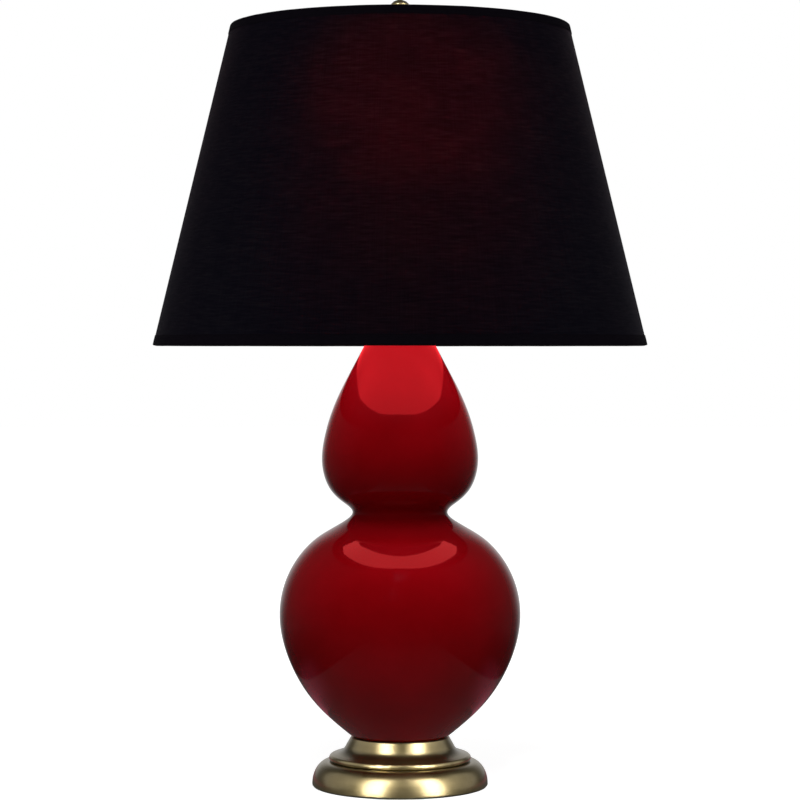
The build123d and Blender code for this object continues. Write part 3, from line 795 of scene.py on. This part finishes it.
def harp_wire():
    """One wire, run and bent from the left foot over to the right."""
    half = [(-x, z, bend) for x, z, bend in HARP_CORNERS]
    corners = half + [(x, z, bend) for x, z, bend in HARP_CORNERS[::-1]]
    points = [Vector((x, 0, z)) for x, z, _ in corners]
    legs = [end - start for start, end in zip(points, points[1:])]
    turns = [0.0] + [a.angle(b) for a, b in zip(legs, legs[1:])] + [0.0]
    trims = [bend * tan(turn / 2) for (_, _, bend), turn in zip(corners, turns)]
    bm = bmesh.new()
    place = Matrix.Translation(points[0] * MM)
    circle = bmesh.ops.create_circle(bm, segments=WIRE_SIDES, radius=WIRE_R * MM, matrix=place)
    ring = list({edge for vert in circle["verts"] for edge in vert.link_edges})
    for i, leg in enumerate(legs):
        ahead = leg.normalized()
        run = leg.length - trims[i] - trims[i + 1]
        drawn = bmesh.ops.extrude_edge_only(bm, edges=ring)["geom"]
        bmesh.ops.translate(bm, verts=verts_in(drawn), vec=ahead * run * MM)
        if i + 1 < len(legs):
            sign = 1 if ahead.cross(legs[i + 1]).y > 0 else -1
            side = Vector((0, sign, 0)).cross(ahead)
            start = points[i + 1] - ahead * trims[i + 1]
            centre = start + side * corners[i + 1][2]
            end = verts_in(drawn) + edges_in(drawn)
            drawn = bmesh.ops.spin(bm, geom=end, cent=centre * MM, axis=(0, sign, 0), dvec=(0, 0, 0),
                                   angle=turns[i + 1], steps=16)["geom_last"]
        ring = edges_in(drawn)
    bmesh.ops.holes_fill(bm, edges=bm.edges, sides=WIRE_SIDES)
    tidy(bm)
    low, high = HARP_BOSS_Z
    bore, rim = STUD_R + 0.05, HARP_BOSS_R
    boss = [(bore, low + 0.2), (rim - 0.5, low), (rim - 0.1, low + 0.4), (rim, low + 1.1), (rim, high - 1.1),
            (rim - 0.1, high - 0.4), (rim - 0.5, high), (bore, high - 0.2)]
    add_lathe(bm, boss, 48)
    return fit(mesh_object("harp_wire", bm), "harp_bow")


def threaded_stud():
    """Stud that swivels in the harp's boss: a head below, a collar above, and a threaded end."""
    low, top = STUD_Z
    seat, collar_top = STUD_COLLAR_Z
    head = [(0, low), (4.6, low + 0.1), (5.2, low + 0.6), (5.1, low + 1.4), (4.6, low + 1.9)]
    collar = [(STUD_R, low + 1.9), (STUD_R, seat), (7.2, seat), (7.5, seat + 0.3), (7.5, seat + 1.1)]
    collar += [(7.1, collar_top), (STUD_R, collar_top)]
    thread = [(STUD_R, z) for z in rows(collar_top + 0.4, top - 0.8, 0.12)]
    bm = lathe(head + collar + thread + [(STUD_R - 0.7, top), (0, top)], 48, closed=False)
    bm = helix_thread(bm, collar_top + 0.3, top - 0.6, STUD_PITCH, STUD_THREAD_DEPTH, STUD_R)
    return fit(mesh_object("threaded_stud", bm, 60), "harp_stud")


def harp_sleeve(side, name, node):
    """Sleeve with a beaded foot that locks a leg of the harp to its prong."""
    low, high = SLEEVE_Z
    bead = [(2.6, low), (3.9, low), (4.2, low + 0.3), (4.2, low + 0.9), (3.9, low + 1.2), (3.75, low + 1.3)]
    tube = [(3.7, low + 1.6), (3.7, high - 0.5), (3.5, high - 0.1), (3.2, high), (2.6, high)]
    bm = lathe(bead + tube, 48)
    bmesh.ops.translate(bm, verts=bm.verts, vec=(side * HARP_FOOT_X * MM, 0, 0))
    return fit(mesh_object(name, bm), node)


# ---- shade ----
SHADE_TOP = (168.5, 758.4)
SHADE_FOOT = (245.9, 440.8)
SHADE_RUN = hypot(SHADE_FOOT[0] - SHADE_TOP[0], SHADE_FOOT[1] - SHADE_TOP[1])
SHADE_TILT = atan2(SHADE_FOOT[0] - SHADE_TOP[0], SHADE_TOP[1] - SHADE_FOOT[1])
CLOTH_T = 0.6
LINING_T = 0.5
TAPE_T = 0.5
RING_R = 1.5
RING_INSET = 2.4
TOP_TAPE = 9.0
FOOT_TAPE = 10.0
SPIDER_WASHER_Z = (746.4, 748.4)
SPIDER_WASHER_R = (3.35, 12.0)
SPIDER_ARMS = 3
SPIDER_ARM_R = 2.0
SEAM_W = 11.0
SEAM_PROUD = 0.35
SEAM_MARGIN = 6.0
SHADE_ROUND = 240
SHADE_LEVELS = 20


def on_shade(down, out):
    """Point at a distance down the shade's slope and out from its cloth's face."""
    r = SHADE_TOP[0] + down * sin(SHADE_TILT) + out * cos(SHADE_TILT)
    z = SHADE_TOP[1] - down * cos(SHADE_TILT) + out * sin(SHADE_TILT)
    return (r, z)


def shade_sheet(name, node, edge, out_from, out_to):
    """Sheet bent into a cone, set back from both ends of the shade by an edge."""
    run = SHADE_RUN - 2 * edge
    levels = [SHADE_RUN - edge - run * i / SHADE_LEVELS for i in range(SHADE_LEVELS + 1)]
    outer = [on_shade(down, out_to) for down in levels]
    inner = [on_shade(down, out_from) for down in levels[::-1]]
    return fit(mesh_object(name, lathe(outer + inner, SHADE_ROUND)), node)


def binding(name, node, edge, width, way):
    """Tape folded over a wire ring: an outer leg, a round edge and an inner leg."""
    back = -CLOTH_T - 2 * RING_R - 0.1
    flat = -CLOTH_T - LINING_T
    past = RING_INSET + RING_R
    section = [(width, 0.02), (width + 0.15, TAPE_T * 0.5), (width - 0.1, TAPE_T)]
    section += [(width * 0.55, TAPE_T + 0.04), (2.0, TAPE_T + 0.02)]
    section += arc((1.0, TAPE_T - 1.0), (1.0, 1.0), 105, 75, 5)
    section += [(0.0, back + 0.5), (0.15, back - TAPE_T * 0.7), (0.7, back - TAPE_T)]
    section += [(past, back - TAPE_T), (past + 3, flat - TAPE_T), (width - 0.1, flat - TAPE_T)]
    section += [(width + 0.1, flat - TAPE_T * 0.5), (width, flat), (past + 2.7, flat), (past - 0.2, back)]
    section += [(TAPE_T, back), (TAPE_T, 0.0)]
    bm = lathe([on_shade(edge + way * down, out) for down, out in section], SHADE_ROUND)

    def pucker(x, y, z):
        turn = atan2(y, x)
        wave = 0.05 * sin(11 * turn + 1.3) + 0.04 * sin(23 * turn + 4.0) + 0.03 * sin(41 * turn)
        scale = 1 + wave / hypot(x, y)
        return (x * scale, y * scale, z + wave * 0.5)

    return fit(mesh_object(name, reshape(bm, pucker), 50), node)


def back_seam():
    """Lapped strip where the cloth's ends meet, at the back: a plate of unit size, wrapped on the cone."""
    bm = bmesh.new()
    bmesh.ops.create_grid(bm, x_segments=6, y_segments=24, size=0.5 * MM)
    bmesh.ops.solidify(bm, geom=bm.faces, thickness=1.0 * MM)

    def wrap(x, y, z):
        down = SEAM_MARGIN + (SHADE_RUN - 2 * SEAM_MARGIN) * (0.5 - y)
        r, height = on_shade(down, SEAM_PROUD if z > -0.5 else -0.2)
        turn = radians(90) + x * SEAM_W / r
        return (r * cos(turn), r * sin(turn), height)

    return add_to(mesh_object("back_seam", tidy(reshape(bm, wrap)), 60), "shade_panel")


def spider_fitter():
    """Washer on three arms that slope up to the top ring."""
    bm = bmesh.new()
    low, high = SPIDER_WASHER_Z
    bore, rim = SPIDER_WASHER_R
    add_lathe(bm, ring_outline(bore, rim, low, high, 0.35))
    ring_r, ring_z = on_shade(RING_INSET, -CLOTH_T - RING_R - 0.05)
    start = Vector((rim - 2, 0, (low + high) / 2))
    end = Vector((ring_r - RING_R - 0.1, 0, ring_z))
    reach = end - start
    lean = Vector((0, 0, 1)).rotation_difference(reach).to_matrix().to_4x4()
    for i in range(SPIDER_ARMS):
        turn = Matrix.Rotation(radians(90) + tau * i / SPIDER_ARMS, 4, "Z")
        place = turn @ Matrix.Translation((start + end) / 2 * MM) @ lean
        bmesh.ops.create_cone(bm, cap_ends=True, segments=24, radius1=SPIDER_ARM_R * MM,
                              radius2=SPIDER_ARM_R * MM, depth=reach.length * MM, matrix=place)
    return fit(mesh_object("spider_fitter", bm), "shade_spider")


# ---- finial ----
FINIAL_Z = (748.6, 787.0)
FINIAL_HEAD_Z = (766.6, 785.5)
FINIAL_HEAD_R = 10.2
FINIAL_RIBS = 8
FINIAL_RIB_PITCH = 1.9
FINIAL_RIB_BULGE = 0.6
FINIAL_BORE_R = 3.3
FINIAL_BORE_TOP = 760.0


def ribbed_finial():
    """Turned knob, bored from below: a flared stem, a domed head of eight ribs and a button."""
    low, high = FINIAL_Z
    head_low, head_high = FINIAL_HEAD_Z
    bore = [(0, FINIAL_BORE_TOP), (FINIAL_BORE_R, FINIAL_BORE_TOP), (FINIAL_BORE_R, low)]
    foot = bezier((6.6, low + 2), (4.6, low + 4), (4.6, low + 7), (5.0, low + 11), 12)
    throat = bezier((5.0, low + 11), (5.6, low + 14), (9.0, low + 14.5), (FINIAL_HEAD_R, head_low), 14)
    outline = bore + [(6.3, low), (6.6, low + 0.3)] + foot + throat[1:]
    for i in range(FINIAL_RIBS):
        start = Vector(outline[-1])
        z = head_low + FINIAL_RIB_PITCH * (i + 1)
        climb = (z - head_low) / (head_high - head_low)
        end = Vector((FINIAL_HEAD_R * (1 - climb ** 4) ** 0.5, z))
        along = (end - start).normalized()
        bulge = Vector((along.y, -along.x)) * FINIAL_RIB_BULGE
        outline += bezier(start, start + bulge + along * 0.25, end + bulge - along * 0.25, end, 8)[1:]
    ribs_end = outline[-1]
    outline += bezier(ribs_end, (ribs_end[0] - 1.2, high - 2.8), (2.7, high - 2.4), (2.5, high - 2.2), 6)[1:]
    outline += bezier((3.0, high - 1.4), (2.9, high - 0.3), (1.6, high), (0, high), 10)
    return fit(mesh_object("ribbed_finial", lathe(outline, closed=False), 55), "finial")


# ---- the whole lamp ----
spun_foot()
felt = felt_disc()
cord_grommet()
gourd = glazed_gourd()
vase_cap()
neck_stem()
pressed_nut()
bent_saddle()
socket_cup()
socket_jacket()
fluted_key()
opal_globe()
threaded_cap()
harp_wire()
threaded_stud()
harp_sleeve(-1, "left_sleeve", "left_ferrule")
harp_sleeve(1, "right_sleeve", "right_ferrule")
cloth = shade_sheet("shade_cloth", "shade_panel", 0.6, -CLOTH_T, 0.0)
lining = shade_sheet("shade_liner", "shade_lining", RING_INSET + RING_R + 0.3, -CLOTH_T - LINING_T, -CLOTH_T)
top_tape = binding("top_binding", "top_hem", 0.0, TOP_TAPE, 1)
foot_tape = binding("bottom_binding", "bottom_hem", SHADE_RUN, FOOT_TAPE, -1)
seam = back_seam()
spider_fitter()
finial = ribbed_finial()


# ---- studio, in metres ----
WHITE = rgb(1.0, 1.0, 1.0)
FILL = 0.12
FLOOR_HALF = 12.0
FLOOR_Z = -0.0002
TABLE_HALF_W = (0.231, 0.241)
LAMP_MIDDLE = (0, 0, 0.25)
FOOT = (0, 0, 0.05)
SHADE_PIECES = ("shade_cloth", "shade_liner", "top_binding", "bottom_binding", "back_seam")
BRASS_SLOTS = ("antique_brass", "bright_brass")

# brightness of the studio as gloss sees it, by the cosine of the angle from straight behind the lamp
BEHIND = ((-1.0, 0.004), (-0.5, 0.008), (-0.2, 0.030), (0.3, 0.050), (0.69, 0.055), (0.77, 0.10),
          (0.84, 0.20), (0.90, 0.37), (0.95, 0.52), (1.0, 0.60))
# lamplight behind the cloth: height, radius and power of each soft source
GLOW = ((0.685, 0.10, 0.62), (0.63, 0.14, 0.28), (0.53, 0.13, 0.28))
GLOW_ACROSS = 0.012
# tall strips that streak the brass: side, place across and ahead of the lamp
BRASS_STRIPS = ((-1, -0.88, -1.31), (1, 1.10, -1.13))


def collection_of(name, pieces):
    made = bpy.data.collections.new(name)
    for each in pieces:
        made.objects.link(each)
    return made


def behind_levels(nodes, cosine):
    """The studio's level towards a direction, by that direction's cosine from straight behind."""
    ramp = nodes.node("ValToRGB", {0: nodes.spread(cosine, -1.0, 1.0)})
    stops = ramp.color_ramp.elements
    while len(stops) < len(BEHIND):
        stops.new(0.5)
    for stop, (place, level) in zip(stops, BEHIND):
        stop.position = (place + 1) / 2
        stop.color = rgb(level, level, level)
    return ramp.outputs[0]


def mirrored_floor(f, x, y, away):
    """What gloss sees of the floor: a dim table, the room's levels far off, and red light about the foot."""
    table = f.spread(f.maths("ABSOLUTE", x), *TABLE_HALF_W, 1.0, 0.0)
    near = f.maths("MULTIPLY", table, f.spread(y, -0.45, -0.10, 0.0, 0.07))
    near = f.maths("ADD", near, f.spread(y, -3.0, -0.6, 0.006, 0.018))
    aim = f.node("VectorMath", {0: f.place, 1: (0.0, 0.0, -0.3)}, operation="ADD").outputs[0]
    aim = f.node("VectorMath", {0: aim}, operation="NORMALIZE").outputs[0]
    far = behind_levels(f, f.node("SeparateXYZ", {0: aim}).outputs["Y"])
    level = f.blend(f.spread(away, 0.45, 1.0), near, far)
    ring = f.maths("MULTIPLY", f.spread(away, 0.13, 0.19), f.spread(away, 0.22, 0.36, 1.0, 0.0))
    ring = f.maths("MULTIPLY", ring, f.spread(y, -0.06, 0.03))
    grey = f.node("Emission", {"Color": level, "Strength": 1.0}).outputs[0]
    red = f.node("Emission", {"Color": rgb(0.32, 0.04, 0.08), "Strength": ring}).outputs[0]
    return f.node("AddShader", {0: grey, 1: red}).outputs[0]


def floor():
    """Pale ground, white to the eye but for a soft shadow about the foot."""
    bm = bmesh.new()
    bmesh.ops.create_grid(bm, x_segments=1, y_segments=1, size=FLOOR_HALF)
    bmesh.ops.translate(bm, verts=bm.verts, vec=(0, 0, FLOOR_Z))
    made = mesh_object("studio_floor", bm)
    f = Finish("pale_floor")
    path = f.node("LightPath").outputs
    x, y, _ = f.parts()
    away = f.node("VectorMath", {0: f.place}, operation="LENGTH").outputs["Value"]
    seen = f.maths("ADD", path["Is Camera Ray"], path["Is Transmission Ray"])
    pale = f.maths("MULTIPLY", seen, f.spread(away, 0.30, 0.80, 0.87, 1.0))
    glow = f.node("Emission", {"Color": WHITE, "Strength": pale}).outputs[0]
    ground = f.node("BsdfDiffuse", {"Color": rgb(0.38, 0.38, 0.38)}).outputs[0]
    lit = f.node("AddShader", {0: glow, 1: ground}).outputs[0]
    mirrored = mirrored_floor(f, x, y, away)
    both = f.node("MixShader", {0: path["Is Glossy Ray"], 1: lit, 2: mirrored}).outputs[0]
    made.data.materials.append(f.finish(both))


def studio_world():
    """Room that is white to the eye, dim as fill light, and brightest behind the lamp as gloss sees it."""
    world = bpy.data.worlds.new("studio")
    SCENE.world = world
    world.use_nodes = True
    world.cycles.sampling_method = "NONE"
    w = Nodes(world.node_tree)
    path = w.node("LightPath").outputs
    cosine = w.node("SeparateXYZ", {0: w.node("TexCoord").outputs["Generated"]}).outputs["Y"]
    level = w.blend(path["Is Glossy Ray"], rgb(FILL, FILL, FILL), behind_levels(w, cosine))
    clear = w.maths("MAXIMUM", path["Is Camera Ray"], path["Is Transmission Ray"])
    shown = w.blend(clear, level, WHITE)
    w.node("OutputWorld", {"Surface": w.node("Background", {"Color": shown, "Strength": 1.0}).outputs[0]})


def lamp(name, kind, place, aim, energy, lights=None, hidden_from=(), colour=(1.0, 1.0, 1.0), **settings):
    """A studio light. It lights every piece, or only a collection, and some kinds of ray miss it."""
    data = bpy.data.lights.new(name, kind)
    data.energy = energy
    data.color = colour
    for key, value in settings.items():
        setattr(data, key, value)
    made = bpy.data.objects.new(name, data)
    SCENE.collection.objects.link(made)
    made.location = place
    if aim is not None:
        made.rotation_euler = (Vector(aim) - Vector(place)).to_track_quat("-Z", "Y").to_euler()
    for ray in ("camera",) + tuple(hidden_from):
        setattr(made, "visible_" + ray, False)
    if lights is not None:
        made.light_linking.receiver_collection = lights
    return made


def disk(name, place, aim, energy, size, lights=None, hidden_from=("glossy",)):
    return lamp(name, "AREA", place, aim, energy, lights, hidden_from, shape="DISK", size=size)


def soft_lights():
    """Light that shapes the pieces without a mark on their gloss."""
    meshes = [o for o in bpy.data.objects if o.type == "MESH"]
    others = collection_of("all_but_cloth", [o for o in meshes if o.name not in SHADE_PIECES])
    weave_alone = collection_of("weave_alone", [o for o in meshes if o.name in SHADE_PIECES])
    glaze = collection_of("glaze_alone", [gourd])
    disk("high_front", (0, -1.67, 2.24), LAMP_MIDDLE, 44.0, 0.5, others)
    for side in (-1, 1):
        disk(f"cloth_side_{side}", (side * 2.0, -0.3, 0.75), (0, 0, 0.6), 10.0, 0.6, weave_alone)
    disk("low_front", (-0.32, -2.27, 1.47), LAMP_MIDDLE, 13.0, 0.6)
    disk("rear_fill", (0.5, 2.2, 1.9), LAMP_MIDDLE, 25.0, 1.5)
    disk("under_shade", (0, 0, 0.468), (0, 0, 0), 1.50, 0.46, glaze)
    disk("table_bounce", (0, 0, 0.001), (0, 0, 1), 0.15, 1.0, glaze)


def brass_lights():
    """Streaks and sheen that only the brass takes."""
    metal = [o for o in bpy.data.objects if o.type == "MESH" and o.get("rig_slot") in BRASS_SLOTS]
    brass = collection_of("brass_alone", metal)
    solid = collection_of("metal_and_glaze", metal + [gourd])
    for side, across, ahead in BRASS_STRIPS:
        strip = lamp(f"brass_strip_{side}", "AREA", (across, ahead, 0.72), FOOT, 50.0, brass, ("diffuse",),
                     shape="RECTANGLE", size=0.75, size_y=2.1)
        strip.data.cycles.use_multiple_importance_sampling = False
        strip.light_linking.blocker_collection = solid
        disk(f"brass_flank_{side}", (side * 1.8, 0.2, 0.8), FOOT, 4.5, 2.0, brass, ("diffuse",))
    knob = collection_of("finial_alone", [finial])
    disk("finial_sky", (0, -0.7, 1.9), (0, 0, 0.78), 3.0, 1.5, knob, ("diffuse",))


def glow_lights():
    """Lamplight that reaches the eye only through the cloth."""
    lit = collection_of("cloth_alone", [cloth])
    blocks = collection_of("glow_blockers", [felt])
    for i, (height, radius, power) in enumerate(GLOW):
        made = lamp(f"glow_in_cloth_{i}", "POINT", (GLOW_ACROSS, 0, height), None, power, lit,
                    colour=(1.0, 0.0, 0.0), shadow_soft_size=radius)
        made.data.cycles.use_multiple_importance_sampling = False
        made.light_linking.blocker_collection = blocks


# ---- cards that the glaze mirrors ----
def card_surface(made, colour, strength, seen_from, fade=1.0):
    """Light that only gloss sees, and from one side alone: 1 from above, -1 from below.
    Its level falls to a share, fade, from the front towards the middle."""
    f = Finish(made.name)
    level = f.maths("MULTIPLY", f.spread(f.parts()["Y"], -0.045, -0.005, 1.0, fade), strength)
    light = f.node("Emission", {"Color": colour, "Strength": level}).outputs[0]
    clear = f.node("BsdfTransparent").outputs[0]
    behind = f.node("NewGeometry").outputs["Backfacing"]
    made.data.materials.append(f.finish(f.node("MixShader", {0: behind, 1: light, 2: clear}).outputs[0]))
    for face in made.data.polygons:
        if face.normal.z * seen_from < 0:
            face.flip()
    for ray in ("camera", "diffuse", "transmission", "volume_scatter", "shadow"):
        setattr(made, "visible_" + ray, False)


def ring_card(name, radii, height, colour, seen_from):
    """Flat ring of painted shade about the lamp, sized in millimetres: dim light that only gloss sees."""
    bm = lathe([(r, height) for r in radii], 96, closed=False)
    card_surface(mesh_object(name, bm), colour, 1.0, seen_from)


def red_card(name, height, inner, outer, colour, strength, fade=1.0, back=0.07):
    """Sheet of red light over the front of the lamp that only the glaze mirrors, as it mirrors the lit shade.
    Its inner and outer edges are each (half width, half depth, squareness)."""
    bm = bmesh.new()
    for share in (1.0, 2.0):
        bmesh.ops.create_circle(bm, segments=96, radius=share, matrix=Matrix.Translation((0, 0, height)))
    bmesh.ops.bridge_loops(bm, edges=bm.edges)
    for vert in bm.verts:
        half_width, half_depth, power = inner if hypot(vert.co.x, vert.co.y) < 1.5 else outer
        turn = atan2(vert.co.y, vert.co.x)
        reach = (abs(cos(turn)) ** power + abs(sin(turn)) ** power) ** (-1 / power)
        y = half_depth * reach * sin(turn)
        taper = min(1.0, 1 - 3.8 * (y + 0.05)) if y < 0.2 else 0.1
        vert.co.x = half_width * reach * cos(turn) * taper
        vert.co.y = y
    bmesh.ops.bisect_plane(bm, geom=bm.verts[:] + bm.edges[:] + bm.faces[:], plane_co=(0, back, 0),
                           plane_no=(0, 1, 0), clear_outer=True)
    card_surface(mesh_object(name, bm), colour, strength, -1, fade)


def cards():
    """The lit shade as the glaze mirrors it, and dim rings of painted shade that the glaze mirrors in place
    of other marks.
    """
    # painted shade: a dim red that the glaze mirrors above the shoulder and at the waist
    painted_shade_red = rgb(0.10, 0.004, 0.008)
    red_card("card_under_shade", 0.441, inner=(0.030, 0.030, 2.0), outer=(0.119, 0.155, 2.7),
             colour=rgb(1.0, 0.036, 0.045), strength=6.3, fade=0.42)
    red_card("card_over_shoulder", 0.326, inner=(0.080, 0.111, 2.0), outer=(0.120, 0.154, 2.45),
             colour=rgb(1.0, 0.080, 0.083), strength=5.0, fade=0.7, back=-0.022)
    red_card("dim_over_shoulder", 0.326, inner=(0.0785, 0.0785, 2.0), outer=(0.080, 0.111, 2.0),
             colour=painted_shade_red, strength=1.0)
    # painted shade: a dim grey ring over the foot that the glaze mirrors
    ring_card("card_over_foot", (50.5, 93.0), 50.2, rgb(0.088, 0.080, 0.080), 1)
    ring_card("waist_screen", (52.5, 64.0), 280.0, painted_shade_red, -1)


# ---- camera ----
CAMERA_AWAY = 2.6
CAMERA_HEIGHT = 0.436
CAMERA_DROP = 0.050


def camera():
    """Long lens at the height of the shade's foot, aimed a little down."""
    data = bpy.data.cameras.new("photo_camera")
    data.lens = 117.0
    data.sensor_width = 36.0
    made = bpy.data.objects.new("photo_camera", data)
    SCENE.collection.objects.link(made)
    made.location = (0, -CAMERA_AWAY, CAMERA_HEIGHT)
    made.rotation_euler = (radians(90) - atan(CAMERA_DROP / CAMERA_AWAY), 0, 0)
    SCENE.camera = made


SCENE.view_settings.view_transform = "Standard"
floor()
studio_world()
soft_lights()
brass_lights()
glow_lights()
cards()
camera()
